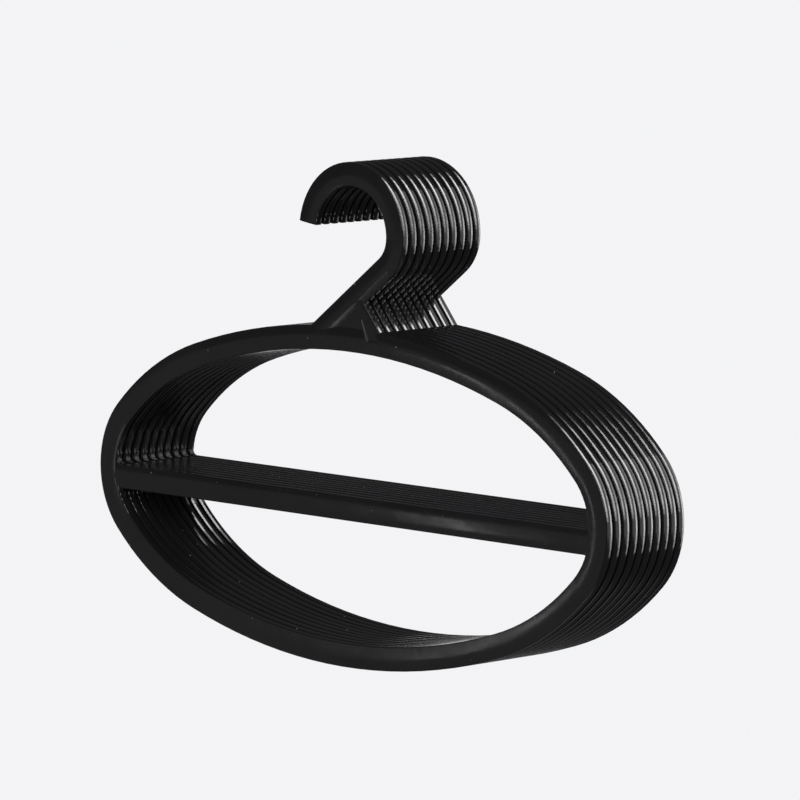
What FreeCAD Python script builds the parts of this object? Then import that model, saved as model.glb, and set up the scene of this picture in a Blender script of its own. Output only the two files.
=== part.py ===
import FreeCAD, Part
import math
import os
import Sketcher
from FreeCAD import Placement, Rotation, Vector

# A set of ten one-piece scarf hangers, nested one behind the other on a wardrobe rail.
# Millimetres and degrees. The origin lies on the axis of the hooks, halfway along the set.
# X runs along the ring's length, Y along the rail towards the last hanger and Z upwards.

HANGER_COUNT = 10
FRONT_GAP_COUNT = 3
FIRST_OF_REAR_GROUP = 8

SIZES = [
    ("ring_width", 260.0, "overall width of the oval ring"),
    ("ring_height", 124.6, "overall height of the oval ring"),
    ("ring_end_radius", 34.2, "outer radius at the two ends of the ring"),
    ("ring_end_sweep", 87.8, "angle of the arcs at the two ends of the ring"),
    ("ring_top_sweep", 36.2, "angle of the flat arcs along the top and the bottom of the ring"),
    ("ring_band", 9.0, "width of the ring's rod, seen from the front"),
    ("ring_thickness", 3.5, "thickness of the ring's rod along the rail"),
    ("ring_drop", 95.6, "from the hook's axis down to the ring's centre"),
    ("ring_shift", -3.0, "from the hook's axis sideways to the ring's centre"),
    ("bar_band", 9.1, "height of the cross bar"),
    ("bar_thickness", 3.2, "thickness of the cross bar along the rail"),
    ("bar_drop", 3.9, "from the ring's centre down to the middle of the cross bar"),
    ("bar_corner", 2.0, "radius in the corners between the cross bar and the ring"),
    ("hook_radius", 17.8, "inner radius of the hook"),
    ("hook_band", 8.8, "width of the hook's rod, seen from the front"),
    ("hook_thickness", 3.3, "thickness of the hook's rod along the rail"),
    ("hook_wrap", 172.0, "angle of the hook, from its right side over the top to its tip"),
    ("bend_radius", 9.3, "inner radius of the bend from the hook into the stem"),
    ("stem_slope", 37.7, "slope of the stem below the horizontal"),
    ("strut_band", 4.6, "width of the short strut beside the stem"),
    ("strut_thickness", 3.2, "thickness of the strut along the rail"),
    ("strut_slope", 50.7, "slope of the strut below the horizontal"),
    ("strut_foot", 15.4, "from the hook's axis sideways to the strut's foot on the ring"),
    ("neck_thickness", 2.8, "thickness of the web between the stem, the strut and the ring"),
    ("pocket_depth", 1.0, "depth of the pocket below the ring's front face"),
    ("pocket_radius", 0.3, "rounding along the floor of the pocket"),
    ("web_thickness", 2.0, "thickness of the webs in the corners of the cross bar"),
    ("rim_draft", 4.0, "slope of every rod's rims, down from the ridge along their middle"),
    ("ridge_radius", 7.0, "rounding of the ridge along the middle of every rod's rims"),
    ("edge_radius", 0.35, "rounding between a rod's rims and its faces"),
    ("crown_radius", 40.0, "radius of every rod's crowned faces"),
    ("tip_radius", 0.3, "rounding round the end of the hook"),
    ("clearance", 0.5, "gap between one hanger and the next"),
    ("front_gap", 0.35, "extra gap behind each of the first three hangers"),
    ("rear_gap", 0.35, "extra gap in front of the rear group of hangers"),
]

# Corners of the pocket in the neck: how far left of the strut's foot and how far above it,
# as shares of the strut's length.
POCKET_CORNERS = [(0.51, 0.40), (0.35, 0.0), (0.02, 0.0), (0.284, 0.36)]

# Lengths that follow from the driving sizes, as expressions.
RING_HALF_WIDTH = "(Sizes.ring_width - Sizes.ring_band) / 2"
RING_HALF_HEIGHT = "(Sizes.ring_height - Sizes.ring_band) / 2"
RING_TOP = f"({RING_HALF_HEIGHT} - Sizes.ring_drop)"
HOOK_MIDDLE = "(Sizes.hook_radius + Sizes.hook_band / 2)"
BEND_MIDDLE = "(Sizes.bend_radius + Sizes.hook_band / 2)"
STEM_TOP_X = f"({HOOK_MIDDLE} - {BEND_MIDDLE} * (1 - sin(Sizes.stem_slope)))"
STEM_TOP_Z = f"(-{BEND_MIDDLE} * cos(Sizes.stem_slope))"
STEM_LENGTH = f"({STEM_TOP_Z} - {RING_TOP}) / sin(Sizes.stem_slope)"
STEM_FOOT = f"({STEM_TOP_X} - {STEM_LENGTH} * cos(Sizes.stem_slope))"
STRUT_RISE = f"({STEM_TOP_Z} - {RING_TOP} - tan(Sizes.stem_slope) * ({STEM_TOP_X} - Sizes.strut_foot))"
STRUT_LENGTH = f"{STRUT_RISE} / (sin(Sizes.strut_slope) + tan(Sizes.stem_slope) * cos(Sizes.strut_slope))"
BAR_HALF_LENGTH = f"{RING_HALF_WIDTH} * sqrt(1 - (Sizes.bar_drop / ({RING_HALF_HEIGHT}))^2)"
BAR_CLEAR_HALF = f"({BAR_HALF_LENGTH} - Sizes.ring_band / 2)"
PITCH = "(Sizes.ring_thickness + Sizes.clearance)"
EXTRA_GAPS = f"({FRONT_GAP_COUNT} * Sizes.front_gap + Sizes.rear_gap)"
MIDDLE_OF_SET = f"(({HANGER_COUNT} - 1) * {PITCH} + {EXTRA_GAPS}) / 2"


def add_sheet(doc):
    """Keep every driving size in one spreadsheet."""
    sheet = doc.addObject("Spreadsheet::Sheet", "Sizes")
    for row, (alias, value, meaning) in enumerate(SIZES, start=1):
        sheet.set(f"A{row}", meaning)
        sheet.set(f"B{row}", str(value))
        sheet.setAlias(f"B{row}", alias)
    doc.recompute()


def number(owner, expression):
    """The present value of an expression, for the first drawing of a sketch."""
    result = owner.evalExpression(expression)
    return float(getattr(result, "Value", result))


def origin_plane(body, role):
    return next(item for item in body.Origin.OriginFeatures if item.Role == role)


def add_sketch(body, name, role, offsets, axis=Vector(0, 0, 1), angle=0):
    """A sketch on one of the body's planes, shifted by expressions and turned about an axis."""
    sketch = body.newObject("Sketcher::SketchObject", name)
    sketch.AttachmentSupport = (origin_plane(body, role), [""])
    sketch.MapMode = "FlatFace"
    sketch.AttachmentOffset = Placement(Vector(), Rotation(axis, number(sketch, str(angle))))
    for direction, expression in offsets.items():
        sketch.setExpression(f"AttachmentOffset.Base.{direction}", expression)
    if isinstance(angle, str):
        sketch.setExpression("AttachmentOffset.Rotation.Angle", angle)
    return sketch


def bind(sketch, name, expression, kind, *where):
    """Add a dimension to a sketch and tie it to an expression."""
    value = number(sketch, expression)
    if kind == "Angle":
        value = math.radians(value)
    index = sketch.addConstraint(Sketcher.Constraint(kind, *where, value))
    sketch.renameConstraint(index, name)
    sketch.setExpression(f"Constraints.{name}", expression)


def draw_rod_section(sketch, band, thickness):
    """A rod's section round the sketch's origin: softly ridged rims, rounded edges, crowned faces."""
    crown_depth = f"(Sizes.crown_radius - {thickness} / 2)"
    half_band = number(sketch, f"{band} / 2")
    crown = number(sketch, "Sizes.crown_radius")
    depth = number(sketch, crown_depth)
    edge = number(sketch, "Sizes.edge_radius")
    ridge = number(sketch, "Sizes.ridge_radius")
    draft = math.radians(number(sketch, "Sizes.rim_draft"))
    ridge_x = half_band - ridge

    # The edge's centre lies one edge radius inside both the sloping rim and the crown.
    slope = -math.tan(draft)
    foot_x = ridge_x + (ridge - edge) / math.cos(draft)
    square = 1 + slope**2
    linear = slope * foot_x + depth
    constant = foot_x**2 + depth**2 - (crown - edge) ** 2
    edge_y = (math.sqrt(linear**2 - square * constant) - linear) / square
    edge_x = foot_x + slope * edge_y
    turn = math.atan2(edge_y + depth, edge_x)

    # The flat part of a rim runs from the ridge's rounding to the edge's.
    inner_x = ridge_x + ridge * math.cos(draft)
    inner_y = ridge * math.sin(draft)
    outer_x = edge_x + edge * math.cos(draft)
    outer_y = edge_y + edge * math.sin(draft)

    def line(x, y, to_x, to_y):
        return Part.LineSegment(Vector(x, y, 0), Vector(to_x, to_y, 0))

    def arc(x, y, radius, start, end):
        return Part.ArcOfCircle(Part.Circle(Vector(x, y, 0), Vector(0, 0, 1), radius), start, end)

    half_turn = math.pi
    outline = [
        line(inner_x, inner_y, outer_x, outer_y),
        arc(edge_x, edge_y, edge, draft, turn),
        arc(0, -depth, crown, turn, half_turn - turn),
        arc(-edge_x, edge_y, edge, half_turn - turn, half_turn - draft),
        line(-outer_x, outer_y, -inner_x, inner_y),
        arc(-ridge_x, 0, ridge, half_turn - draft, half_turn + draft),
        line(-inner_x, -inner_y, -outer_x, -outer_y),
        arc(-edge_x, -edge_y, edge, half_turn + draft, half_turn + turn),
        arc(0, depth, crown, half_turn + turn, 2 * half_turn - turn),
        arc(edge_x, -edge_y, edge, 2 * half_turn - turn, 2 * half_turn - draft),
        line(outer_x, -outer_y, inner_x, -inner_y),
        arc(ridge_x, 0, ridge, -draft, draft),
    ]
    right_rim, first_edge, crown_face, second_edge, far_rim, far_ridge = range(6)
    left_rim, third_edge, far_crown, last_edge, last_rim, right_ridge = range(6, 12)
    sketch.addGeometry(outline, False)
    start, end, centre, x_axis, y_axis = 1, 2, 3, -1, -2
    for index in range(len(outline)):
        following = (index + 1) % len(outline)
        sketch.addConstraint(Sketcher.Constraint("Tangent", index, end, following, start))
    sketch.addConstraint([
        Sketcher.Constraint("PointOnObject", right_ridge, centre, x_axis),
        Sketcher.Constraint("Symmetric", right_ridge, centre, far_ridge, centre, y_axis),
        Sketcher.Constraint("Symmetric", right_rim, end, last_rim, start, x_axis),
        Sketcher.Constraint("Symmetric", right_rim, end, far_rim, start, y_axis),
        Sketcher.Constraint("Symmetric", far_rim, start, left_rim, end, x_axis),
        Sketcher.Constraint("Equal", right_ridge, far_ridge),
        Sketcher.Constraint("Equal", crown_face, far_crown),
    ])
    for other_edge in (second_edge, third_edge, last_edge):
        sketch.addConstraint(Sketcher.Constraint("Equal", first_edge, other_edge))
    ridge_place = f"{band} / 2 - Sizes.ridge_radius"
    bind(sketch, "ridge_place", ridge_place, "DistanceX", x_axis, start, right_ridge, centre)
    bind(sketch, "ridge", "Sizes.ridge_radius", "Radius", right_ridge)
    bind(sketch, "draft", "(90 + Sizes.rim_draft) * 1 deg", "Angle", right_rim)
    bind(sketch, "edge", "Sizes.edge_radius", "Radius", first_edge)
    bind(sketch, "crown", "Sizes.crown_radius", "Radius", crown_face)
    bind(sketch, "crown_depth", crown_depth, "DistanceY", crown_face, centre, x_axis, start)


def add_bent_rod(body, name, radius, angle, upwards):
    """Turn the hook's section about an axis along Y, from the hook's right side."""
    sketch = add_sketch(body, f"{name}_section", "XY_Plane", {"x": HOOK_MIDDLE})
    draw_rod_section(sketch, "Sizes.hook_band", "Sizes.hook_thickness")
    axis_x = -number(sketch, radius)
    axis = sketch.addGeometry(Part.LineSegment(Vector(axis_x, 0, 0), Vector(axis_x, 1, 0)), True)
    sketch.addConstraint(Sketcher.Constraint("Vertical", axis))
    sketch.addConstraint(Sketcher.Constraint("PointOnObject", axis, 1, -1))
    sketch.addConstraint(Sketcher.Constraint("DistanceY", axis, 1, axis, 2, 1))
    bind(sketch, "bend", radius, "DistanceX", axis, 1, -1, 1)
    rod = body.newObject("PartDesign::Revolution", name)
    rod.Profile = sketch
    rod.ReferenceAxis = (sketch, ["Axis0"])
    rod.Refine = False
    rod.Reversed = upwards
    rod.setExpression("Angle", angle)
    return rod


def add_straight_rod(body, name, sketch, band, thickness, length, symmetric=False):
    """Extrude a rod's section from its sketch."""
    draw_rod_section(sketch, band, thickness)
    rod = body.newObject("PartDesign::Pad", name)
    rod.Profile = sketch
    rod.SideType = "Symmetric" if symmetric else "One side"
    rod.Refine = False
    rod.setExpression("Length", length)
    return rod


def round_flat_face(body, name, feature, middle, radius):
    """Round the edges of a feature's flat face, found by the middle of the face."""
    flat_faces = [
        (face.CenterOfMass.distanceToPoint(middle), f"Face{index}")
        for index, face in enumerate(feature.Shape.Faces, start=1)
        if isinstance(face.Surface, Part.Plane)
    ]
    fillet = body.newObject("PartDesign::Fillet", name)
    fillet.Base = (feature, [min(flat_faces)[1]])
    fillet.Refine = False
    fillet.setExpression("Radius", radius)


def add_hook(body):
    """The stem that slopes up from the ring, its bend and the hook over the rail."""
    place = {"x": STEM_TOP_X, "z": STEM_TOP_Z}
    sketch = add_sketch(body, "Stem_section", "XY_Plane", place, Vector(0, 1, 0), "90 - Sizes.stem_slope")
    stem = add_straight_rod(body, "Stem", sketch, "Sizes.hook_band", "Sizes.hook_thickness", STEM_LENGTH)
    stem.Reversed = True
    add_bent_rod(body, "Bend", BEND_MIDDLE, "90 - Sizes.stem_slope", False)
    hook = add_bent_rod(body, "Hook", HOOK_MIDDLE, "Sizes.hook_wrap", True)
    body.Document.recompute()
    reach = number(body, HOOK_MIDDLE)
    wrap = math.radians(number(body, "Sizes.hook_wrap"))
    tip = Vector(reach * math.cos(wrap), 0, reach * math.sin(wrap))
    round_flat_face(body, "Hook_tip", hook, tip, "Sizes.tip_radius")


def draw_oval(sketch):
    """The ring's middle line: an oval of end, shoulder and top arcs that run smoothly into each other."""
    half_width = number(sketch, RING_HALF_WIDTH)
    half_height = number(sketch, RING_HALF_HEIGHT)
    end_radius = "Sizes.ring_end_radius - Sizes.ring_band / 2"
    end_turn = math.radians(number(sketch, "Sizes.ring_end_sweep / 2"))
    top_turn = math.radians(number(sketch, "90 - Sizes.ring_top_sweep / 2"))
    small = number(sketch, end_radius)

    # The shoulder and top radii close the oval at the given width and height.
    cos_end, sin_end = math.cos(end_turn), math.sin(end_turn)
    cos_top, sin_top = math.cos(top_turn), math.sin(top_turn)
    reach_x = half_width - small + small * cos_end
    reach_y = half_height - small * sin_end
    determinant = (cos_top - cos_end) * (1 - sin_top) + cos_top * (sin_top - sin_end)
    shoulder = (cos_top * reach_y - reach_x * (1 - sin_top)) / determinant
    large = ((cos_top - cos_end) * reach_y + (sin_top - sin_end) * reach_x) / determinant

    end_x = half_width - small
    shoulder_x = end_x + (small - shoulder) * cos_end
    shoulder_y = (small - shoulder) * sin_end
    top_y = half_height - large
    half_turn = math.pi
    arcs = [
        (end_x, 0, small, 0, end_turn),
        (shoulder_x, shoulder_y, shoulder, end_turn, top_turn),
        (0, top_y, large, top_turn, half_turn - top_turn),
        (-shoulder_x, shoulder_y, shoulder, half_turn - top_turn, half_turn - end_turn),
        (-end_x, 0, small, half_turn - end_turn, half_turn + end_turn),
        (-shoulder_x, -shoulder_y, shoulder, half_turn + end_turn, half_turn + top_turn),
        (0, -top_y, large, half_turn + top_turn, 2 * half_turn - top_turn),
        (shoulder_x, -shoulder_y, shoulder, 2 * half_turn - top_turn, 2 * half_turn - end_turn),
        (end_x, 0, small, 2 * half_turn - end_turn, 2 * half_turn),
    ]
    for x, y, radius, start_angle, end_angle in arcs:
        circle = Part.Circle(Vector(x, y, 0), Vector(0, 0, 1), radius)
        sketch.addGeometry(Part.ArcOfCircle(circle, start_angle, end_angle), False)
    first_end, first_shoulder, top, _, far_end, _, bottom, _, last_end = range(len(arcs))
    start, end, centre, x_axis, y_axis = 1, 2, 3, -1, -2
    crest = sketch.addGeometry(Part.Point(Vector(0, half_height, 0)), True)
    for index in range(len(arcs)):
        following = (index + 1) % len(arcs)
        sketch.addConstraint(Sketcher.Constraint("Tangent", index, end, following, start))
    sketch.addConstraint([
        Sketcher.Constraint("PointOnObject", first_end, start, x_axis),
        Sketcher.Constraint("PointOnObject", first_end, centre, x_axis),
        Sketcher.Constraint("PointOnObject", top, centre, y_axis),
        Sketcher.Constraint("Symmetric", first_end, centre, far_end, centre, -1, 1),
        Sketcher.Constraint("Symmetric", top, centre, bottom, centre, -1, 1),
        Sketcher.Constraint("Equal", first_end, last_end),
        Sketcher.Constraint("Equal", first_end, far_end),
        Sketcher.Constraint("Equal", top, bottom),
        Sketcher.Constraint("PointOnObject", crest, start, top),
        Sketcher.Constraint("PointOnObject", crest, start, y_axis),
    ])
    for other_shoulder in (3, 5, 7):
        sketch.addConstraint(Sketcher.Constraint("Equal", first_shoulder, other_shoulder))
    bind(sketch, "half_width", RING_HALF_WIDTH, "DistanceX", -1, 1, first_end, start)
    bind(sketch, "half_height", RING_HALF_HEIGHT, "DistanceY", -1, 1, crest, start)
    bind(sketch, "end_radius", end_radius, "Radius", first_end)
    bind(sketch, "end_sweep", "Sizes.ring_end_sweep * 1 deg", "Angle", far_end)
    bind(sketch, "top_sweep", "Sizes.ring_top_sweep * 1 deg", "Angle", top)


def add_ring(body):
    """The ring: a rod's section carried round the oval."""
    place = {"x": "Sizes.ring_shift", "y": "-Sizes.ring_drop"}
    oval = add_sketch(body, "Ring_line", "XZ_Plane", place)
    draw_oval(oval)
    place = {"x": f"Sizes.ring_shift + {RING_HALF_WIDTH}", "z": "-Sizes.ring_drop"}
    section = add_sketch(body, "Ring_section", "XY_Plane", place)
    draw_rod_section(section, "Sizes.ring_band", "Sizes.ring_thickness")
    body.Document.recompute()
    ring = body.newObject("PartDesign::AdditivePipe", "Ring")
    ring.Profile = section
    ring.Spine = oval
    ring.Refine = False


def add_bar(body):
    """The cross bar, with its ends inside the ring's rod."""
    place = {"y": "-Sizes.ring_drop - Sizes.bar_drop", "z": "Sizes.ring_shift"}
    sketch = add_sketch(body, "Bar_section", "YZ_Plane", place, angle=90)
    length = f"2 * {BAR_HALF_LENGTH}"
    add_straight_rod(body, "Bar", sketch, "Sizes.bar_band", "Sizes.bar_thickness", length, symmetric=True)


def add_strut(body):
    """The short strut that braces the stem on the ring."""
    place = {"x": "Sizes.strut_foot", "z": RING_TOP}
    sketch = add_sketch(body, "Strut_section", "XY_Plane", place, Vector(0, 1, 0), "Sizes.strut_slope - 90")
    add_straight_rod(body, "Strut", sketch, "Sizes.strut_band", "Sizes.strut_thickness", STRUT_LENGTH)


def draw_outline(sketch, corners, hollows=None):
    """A closed outline through its corners, with round hollows on the sides that name a radius."""
    hollows = hollows or {}
    points = [Vector(number(sketch, x), number(sketch, y), 0) for x, y in corners]
    start, end = 1, 2
    for index, point in enumerate(points):
        following = points[(index + 1) % len(points)]
        if index in hollows:
            radius = number(sketch, hollows[index])
            middle = (point + following) / 2
            chord = following - point
            inwards = Vector(-chord.y, chord.x, 0).normalize()
            reach = math.sqrt(radius**2 - (chord.Length / 2) ** 2)
            centre = middle + inwards * reach
            first, last = (math.atan2(v.y - centre.y, v.x - centre.x) for v in (point, following))
            side = Part.ArcOfCircle(Part.Circle(centre, Vector(0, 0, 1), radius), first, last)
        else:
            side = Part.LineSegment(point, following)
        sketch.addGeometry(side, False)
    for index, (x, y) in enumerate(corners):
        previous = (index - 1) % len(corners)
        sketch.addConstraint(Sketcher.Constraint("Coincident", previous, end, index, start))
        bind(sketch, f"corner_{index}_x", x, "DistanceX", -1, 1, index, start)
        bind(sketch, f"corner_{index}_y", y, "DistanceY", -1, 1, index, start)
    for index, radius in hollows.items():
        bind(sketch, f"hollow_{index}", radius, "Radius", index)


def add_web(body, name, sketch, thickness):
    """A thin plate on the hanger's middle plane."""
    web = body.newObject("PartDesign::Pad", name)
    web.Profile = sketch
    web.SideType = "Symmetric"
    web.Refine = False
    web.setExpression("Length", thickness)
    return web


def add_neck_web(body):
    """The web in the triangle between the stem, the strut and the ring."""
    sketch = add_sketch(body, "Neck_web_outline", "XZ_Plane", {})
    crossing_x = f"Sizes.strut_foot - {STRUT_LENGTH} * cos(Sizes.strut_slope)"
    crossing_z = f"{RING_TOP} + {STRUT_LENGTH} * sin(Sizes.strut_slope)"
    feet = [(STEM_FOOT, RING_TOP), ("Sizes.strut_foot", RING_TOP)]
    draw_outline(sketch, feet + [(crossing_x, crossing_z)])
    add_web(body, "Neck_web", sketch, "Sizes.neck_thickness")


def add_pocket(body):
    """The shallow pocket in the front of the neck, at the root of the strut, with a rounded floor."""
    sketch = add_sketch(body, "Pocket_outline", "XZ_Plane", {"z": "Sizes.ring_thickness / 2"})
    corners = [
        (f"Sizes.strut_foot - {left} * {STRUT_LENGTH}", f"{RING_TOP} + {up} * {STRUT_LENGTH}")
        for left, up in POCKET_CORNERS
    ]
    draw_outline(sketch, corners)
    pocket = body.newObject("PartDesign::Pocket", "Pocket")
    pocket.Profile = sketch
    pocket.Refine = False
    pocket.setExpression("Length", "Sizes.pocket_depth")
    body.Document.recompute()
    opening = Part.Face(sketch.Shape.Wires[0])
    floor = opening.CenterOfMass + Vector(0, number(sketch, "Sizes.pocket_depth"), 0)
    round_flat_face(body, "Pocket_floor", pocket, floor, "Sizes.pocket_radius")


def add_bar_webs(body):
    """Webs that round the corners between the cross bar and the ring."""
    place = {"x": "Sizes.ring_shift", "y": "-Sizes.ring_drop - Sizes.bar_drop"}
    sketch = add_sketch(body, "Bar_web_outline", "XZ_Plane", place)
    tangent_x = f"{BAR_CLEAR_HALF} - Sizes.bar_corner"
    upper, lower = "Sizes.bar_band / 2", "-Sizes.bar_band / 2"
    corners = [
        (tangent_x, upper),
        (BAR_CLEAR_HALF, f"{upper} + Sizes.bar_corner"),
        (BAR_HALF_LENGTH, f"{upper} + Sizes.bar_corner"),
        (BAR_HALF_LENGTH, f"{lower} - Sizes.bar_corner"),
        (BAR_CLEAR_HALF, f"{lower} - Sizes.bar_corner"),
        (tangent_x, lower),
    ]
    draw_outline(sketch, corners, {0: "Sizes.bar_corner", 4: "Sizes.bar_corner"})
    web = add_web(body, "Bar_web", sketch, "Sizes.web_thickness")
    far_web = body.newObject("PartDesign::Mirrored", "Bar_web_far")
    far_web.Originals = [web]
    far_web.MirrorPlane = (sketch, ["V_Axis"])
    far_web.Refine = False
    body.Tip = far_web


def add_body(doc, position):
    """An empty hanger of the set, counted from the front, at its place on the rail."""
    name = f"hanger_{position:02d}"
    body = doc.addObject("PartDesign::Body", name)
    body.Label = name
    front_gaps = f"{min(position - 1, FRONT_GAP_COUNT)} * Sizes.front_gap"
    rear_gap = "Sizes.rear_gap" if position >= FIRST_OF_REAR_GROUP else "0"
    distance = f"{position - 1} * {PITCH} + {front_gaps} + {rear_gap}"
    body.setExpression("Placement.Base.y", f"{distance} - {MIDDLE_OF_SET}")
    return body


def add_first_hanger(doc):
    body = add_body(doc, 1)
    add_ring(body)
    add_bar(body)
    add_hook(body)
    add_strut(body)
    add_neck_web(body)
    add_pocket(body)
    add_bar_webs(body)
    return body


def add_next_hanger(doc, first, position):
    """A hanger from the same mould as the first."""
    body = add_body(doc, position)
    body.BaseFeature = first
    return body


def check(doc, bodies):
    """Stop unless every feature is sound and every hanger is one valid solid."""
    for item in doc.Objects:
        if "Invalid" in item.State or "Error" in item.State:
            raise RuntimeError(f"{item.Label} did not rebuild: {item.State}")
    for body in bodies:
        if body.Shape.isNull() or not body.Shape.isValid() or len(body.Shape.Solids) != 1:
            raise RuntimeError(f"{body.Label} is not one valid solid")


def main():
    doc = FreeCAD.newDocument("scarf_hangers")
    add_sheet(doc)
    first = add_first_hanger(doc)
    doc.recompute()
    others = [add_next_hanger(doc, first, position) for position in range(2, HANGER_COUNT + 1)]
    bodies = [first] + others
    doc.recompute()
    check(doc, bodies)
    os.makedirs("parts", exist_ok=True)
    for body in bodies:
        body.Shape.exportStep(os.path.join("parts", f"{body.Label}.step"))
        print(body.Label, "volume", round(body.Shape.Volume, 1))


main()
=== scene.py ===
import math

import bpy
from mathutils import Matrix, Vector

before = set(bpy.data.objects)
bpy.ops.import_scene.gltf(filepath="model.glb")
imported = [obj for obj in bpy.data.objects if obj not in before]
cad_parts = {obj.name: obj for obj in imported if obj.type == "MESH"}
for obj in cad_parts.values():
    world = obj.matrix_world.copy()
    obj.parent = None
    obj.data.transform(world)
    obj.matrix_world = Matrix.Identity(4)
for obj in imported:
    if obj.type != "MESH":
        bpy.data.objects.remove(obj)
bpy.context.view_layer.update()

# Ten glossy black plastic scarf hangers, hanging in a plain pale studio.
# Metres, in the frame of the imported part: X along the rings, Y along the rail, Z up.

# The camera: where it stands, how it is turned in degrees, and its lens and sensor in millimetres.
CAMERA_PLACE = Vector((1.5227, -1.5451, 0.2005))
CAMERA_AZIMUTH = 44.4717
CAMERA_ELEVATION = 6.8825
CAMERA_ROLL = 0.3654
CAMERA_LENS = 270.0
CAMERA_SENSOR = 36.0
CAMERA_FAR_CLIP = 100.0

# The plastic: its flow clouds, dust specks, smears in the gloss, and fine relief.
PLASTIC_DARK = (0.006, 0.006, 0.0065, 1.0)
PLASTIC_LIGHT = (0.014, 0.014, 0.015, 1.0)
PLASTIC_IOR = 1.52
CLOUD_SCALE = 22.0
DUST_COLOUR = (0.16, 0.16, 0.17, 1.0)
DUST_SCALE = 420.0
DUST_CORE = 0.06
DUST_EDGE = 0.16
DUST_RARITY = 0.965
DUST_ROUGHNESS = 0.4
SMEAR_SCALE = 60.0
SMEAR_DETAIL = 5.0
SMEAR_RANGE = (0.35, 0.75)
ROUGHNESS_RANGE = (0.08, 0.15)
PEEL_SCALE = 260.0
GRAIN_SCALE = 2400.0
GRAIN_SHARE = 0.04
RELIEF_DETAIL = 2.0
RELIEF_STRENGTH = 0.25
RELIEF_HEIGHT = 0.00004

# The floor.
FLOOR_HEIGHT = -1.6
FLOOR_RADIUS = 1.6
FLOOR_CORNERS = 96
FLOOR_FADE_START = 0.3
FLOOR_ROUGHNESS = 0.7
FLOOR_TONE_SCALE = 6.0
FLOOR_DARK = (0.80, 0.80, 0.81, 1.0)
FLOOR_LIGHT = (0.84, 0.84, 0.85, 1.0)

# The room: pale to the eye, dim in reflections outside the backdrop, and soft as light.
PALE = (0.90, 0.90, 0.915, 1.0)
DIM = (0.04, 0.04, 0.042, 1.0)
SOFT = (0.30, 0.30, 0.31, 1.0)
BACKDROP_DIRECTION = Vector((-0.695, 0.709, -0.12)).normalized()
BACKDROP_EDGE = 0.9877
BACKDROP_CORE = 0.9962

# The lights face the middle of the hangers.
OBJECT_CENTRE = Vector((0.0, 0.0, -0.065))

# Bent windows round the rail: the angle from the rail's far end, and panes from one turn to another, each
# with its radiance. Angles and turns are in degrees.
WINDOW_REACH = 6.0
WINDOW_WIDTH = 0.42
WINDOWS = [
    ("window_near", 51.5, [
        (3, 8, 3.0), (8, 14, 6.0), (14, 28, 9.0), (28, 42, 11.0), (42, 56, 13.0),
        (56, 68, 14.0), (68, 80, 13.0), (80, 90, 8.5), (90, 98, 2.5),
    ]),
    ("window_far", 35.5, [
        (-44, -34, 3.0), (-34, -24, 5.0), (-24, -10, 6.5), (-10, 6, 8.0), (6, 22, 7.5),
        (22, 34, 5.0), (34, 46, 3.0), (46, 60, 1.8), (60, 75, 1.0),
    ]),
]

# Softboxes and cards: the two ends of the middle line, the width and the radiance.
PANELS = [
    ("wall_right", (2.00, 1.60, -0.70), (0.40, 1.95, 1.60), 1.10, 0.8),
    ("key_softbox", (1.50, -1.80, 0.30), (0.44, -1.49, 1.75), 0.90, 6.0),
    ("card_front_left", (-1.11, -2.25, -0.52), (-2.25, -1.11, -0.52), 0.62, 0.11),
    ("strip_front_left", (-0.82, -0.92, -0.36), (-0.82, -0.92, -0.20), 0.02, 2.2),
    ("curtain_left", (-2.28, -0.23, -0.42), (-2.00, 1.03, -0.42), 0.45, 3.0),
]


def add_node(tree, kind, **settings):
    """A shader node with its properties and its inputs set by name."""
    node = tree.nodes.new(kind)
    for name, value in settings.items():
        if hasattr(node, name):
            setattr(node, name, value)
        else:
            node.inputs[name].default_value = value
    return node


def feed(tree, socket, value):
    """Link an input to another node's output, or give it a constant."""
    if isinstance(value, bpy.types.NodeSocket):
        tree.links.new(value, socket)
    else:
        socket.default_value = value


def add_math(tree, operation, *values):
    """A math node fed by sockets or plain numbers."""
    node = add_node(tree, "ShaderNodeMath", operation=operation)
    for socket, value in zip(node.inputs, values):
        feed(tree, socket, value)
    return node.outputs[0]


def add_ramp(tree, value, low, high, to_low=0.0, to_high=1.0):
    """A smooth step of a value from one range to another."""
    node = add_node(tree, "ShaderNodeMapRange", interpolation_type="SMOOTHSTEP", clamp=True)
    feed(tree, node.inputs["Value"], value)
    for name, number in (("From Min", low), ("From Max", high), ("To Min", to_low), ("To Max", to_high)):
        feed(tree, node.inputs[name], number)
    return node.outputs["Result"]


def add_mix(tree, factor, first, second):
    """A colour mixed from two by a factor."""
    node = add_node(tree, "ShaderNodeMix", data_type="RGBA")
    colour_inputs = [socket for socket in node.inputs if socket.type == "RGBA"]
    feed(tree, node.inputs["Factor"], factor)
    for socket, value in zip(colour_inputs, (first, second)):
        feed(tree, socket, value)
    return next(socket for socket in node.outputs if socket.type == "RGBA")


def add_noise(tree, position, scale, detail=3.0):
    """Soft noise, from 0 to 1."""
    node = add_node(tree, "ShaderNodeTexNoise", Scale=scale, Detail=detail)
    feed(tree, node.inputs["Vector"], position)
    return node.outputs["Fac"]


def new_material(name):
    """A material with its node tree, its main shader and the place on the object as a socket."""
    material = bpy.data.materials.new(name)
    material.use_nodes = True
    tree = material.node_tree
    position = add_node(tree, "ShaderNodeTexCoord").outputs["Object"]
    return material, tree, tree.nodes["Principled BSDF"], position


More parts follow.
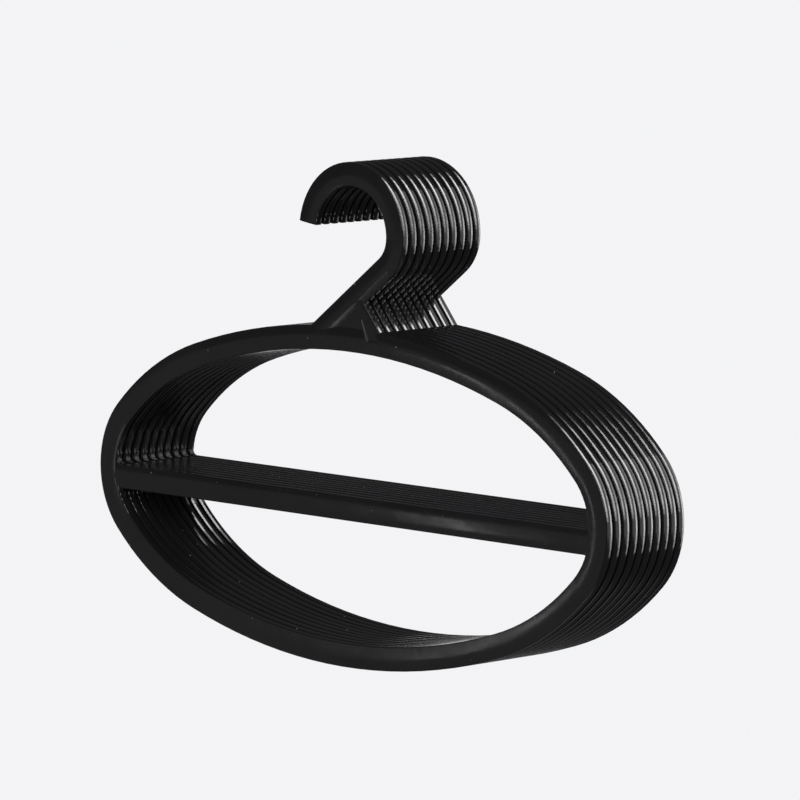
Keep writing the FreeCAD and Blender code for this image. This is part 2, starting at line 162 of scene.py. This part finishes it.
def black_plastic():
    """Glossy black moulded plastic: faint flow clouds, a slightly uneven gloss and a little dust."""
    material, tree, shader, position = new_material("black_plastic_gloss")

    clouds = add_noise(tree, position, CLOUD_SCALE)
    plain = add_mix(tree, clouds, PLASTIC_DARK, PLASTIC_LIGHT)

    specks = add_node(tree, "ShaderNodeTexVoronoi", Scale=DUST_SCALE)
    feed(tree, specks.inputs["Vector"], position)
    chosen = add_node(tree, "ShaderNodeSeparateColor")
    feed(tree, chosen.inputs[0], specks.outputs["Color"])
    near = add_ramp(tree, specks.outputs["Distance"], DUST_CORE, DUST_EDGE, 1.0, 0.0)
    rare = add_math(tree, "GREATER_THAN", chosen.outputs[0], DUST_RARITY)
    dust = add_math(tree, "MULTIPLY", near, rare)
    feed(tree, shader.inputs["Base Color"], add_mix(tree, dust, plain, DUST_COLOUR))

    smears = add_noise(tree, position, SMEAR_SCALE, SMEAR_DETAIL)
    gloss = add_ramp(tree, smears, *SMEAR_RANGE, *ROUGHNESS_RANGE)
    feed(tree, shader.inputs["Roughness"], add_math(tree, "MULTIPLY_ADD", dust, DUST_ROUGHNESS, gloss))

    peel = add_noise(tree, position, PEEL_SCALE, RELIEF_DETAIL)
    grain = add_noise(tree, position, GRAIN_SCALE, RELIEF_DETAIL)
    relief = add_math(tree, "MULTIPLY_ADD", grain, GRAIN_SHARE, peel)
    bump = add_node(tree, "ShaderNodeBump", Strength=RELIEF_STRENGTH, Distance=RELIEF_HEIGHT)
    feed(tree, bump.inputs["Height"], relief)
    feed(tree, shader.inputs["Normal"], bump.outputs["Normal"])
    feed(tree, shader.inputs["IOR"], PLASTIC_IOR)
    return material


def dress_hangers(material):
    """Give every hanger the material."""
    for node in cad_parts.values():
        for slot in node.material_slots:
            slot.material = material


def add_camera():
    """The camera at the photograph's angle."""
    azimuth = math.radians(CAMERA_AZIMUTH)
    elevation = math.radians(CAMERA_ELEVATION)
    roll = math.radians(CAMERA_ROLL)
    level = math.cos(elevation)
    back = Vector((math.sin(azimuth) * level, -math.cos(azimuth) * level, math.sin(elevation)))
    right = Vector((math.cos(azimuth), math.sin(azimuth), 0.0))
    up = back.cross(right)
    rolled_right = math.cos(roll) * right + math.sin(roll) * up
    rolled_up = math.cos(roll) * up - math.sin(roll) * right
    data = bpy.data.cameras.new("camera")
    data.lens = CAMERA_LENS
    data.sensor_width = CAMERA_SENSOR
    data.clip_end = CAMERA_FAR_CLIP
    camera = bpy.data.objects.new("camera", data)
    turn = Matrix((rolled_right, rolled_up, back)).transposed()
    camera.matrix_world = Matrix.Translation(CAMERA_PLACE) @ turn.to_4x4()
    bpy.context.scene.collection.objects.link(camera)
    bpy.context.scene.camera = camera


def add_panel(name, first_end, second_end, width, radiance):
    """A softbox between two points that faces the hangers, as bright all over as its radiance says."""
    first_end, second_end = Vector(first_end), Vector(second_end)
    centre = (first_end + second_end) / 2
    length = (second_end - first_end).length
    along = (second_end - first_end).normalized()
    away = centre - OBJECT_CENTRE
    away = (away - along * away.dot(along)).normalized()
    across = away.cross(along)
    data = bpy.data.lights.new(name, "AREA")
    data.shape = "RECTANGLE"
    data.size = length
    data.size_y = width
    data.energy = radiance * math.pi * length * width
    lamp = bpy.data.objects.new(name, data)
    lamp.matrix_world = Matrix.Translation(centre) @ Matrix((along, across, away)).transposed().to_4x4()
    lamp.visible_camera = False
    bpy.context.scene.collection.objects.link(lamp)


def around_rail(polar, turn):
    """A point on the windows' sphere, by its angle from the rail's far end and its turn about the rail."""
    polar, turn = math.radians(polar), math.radians(turn)
    level = math.sin(polar)
    direction = Vector((level * math.cos(turn), math.cos(polar), level * math.sin(turn)))
    return OBJECT_CENTRE + WINDOW_REACH * direction


def add_lights():
    """The bent windows, pane by pane, and the softboxes and cards."""
    for name, polar, panes in WINDOWS:
        for index, (start, end, radiance) in enumerate(panes, start=1):
            ends = around_rail(polar, start), around_rail(polar, end)
            add_panel(f"{name}_{index}", *ends, WINDOW_WIDTH, radiance)
    for panel in PANELS:
        add_panel(*panel)


def add_world():
    """Pale to the eye. Reflections see pale backdrop behind the hangers and a dim room elsewhere."""
    world = bpy.data.worlds.new("studio")
    bpy.context.scene.world = world
    world.use_nodes = True
    tree = world.node_tree
    direction = add_node(tree, "ShaderNodeTexCoord").outputs["Generated"]
    facing = add_node(tree, "ShaderNodeVectorMath", operation="DOT_PRODUCT")
    feed(tree, facing.inputs[0], direction)
    feed(tree, facing.inputs[1], BACKDROP_DIRECTION)
    backdrop = add_ramp(tree, facing.outputs["Value"], BACKDROP_EDGE, BACKDROP_CORE)
    path = add_node(tree, "ShaderNodeLightPath").outputs
    mirrored = add_math(tree, "MAXIMUM", path["Is Glossy Ray"], path["Is Transmission Ray"])
    room = add_mix(tree, mirrored, SOFT, DIM)
    pale = add_math(tree, "MAXIMUM", path["Is Camera Ray"], add_math(tree, "MULTIPLY", mirrored, backdrop))
    feed(tree, tree.nodes["Background"].inputs["Color"], add_mix(tree, pale, room, PALE))


def add_floor():
    """A round pale floor that fades into the background."""
    bpy.ops.mesh.primitive_circle_add(vertices=FLOOR_CORNERS, radius=FLOOR_RADIUS, fill_type="NGON",
                                      location=(0.0, 0.0, FLOOR_HEIGHT))
    floor = bpy.context.object
    floor.name = "floor"
    material, tree, shader, position = new_material("pale_floor")
    feed(tree, shader.inputs["Roughness"], FLOOR_ROUGHNESS)
    tone = add_noise(tree, position, FLOOR_TONE_SCALE)
    feed(tree, shader.inputs["Base Color"], add_mix(tree, tone, FLOOR_DARK, FLOOR_LIGHT))
    reach = add_node(tree, "ShaderNodeVectorMath", operation="LENGTH")
    feed(tree, reach.inputs[0], position)
    solid = add_ramp(tree, reach.outputs["Value"], FLOOR_FADE_START, FLOOR_RADIUS, 1.0, 0.0)
    feed(tree, shader.inputs["Alpha"], solid)
    floor.data.materials.append(material)


bpy.context.scene.view_settings.view_transform = "Standard"
dress_hangers(black_plastic())
add_camera()
add_lights()
add_world()
add_floor()
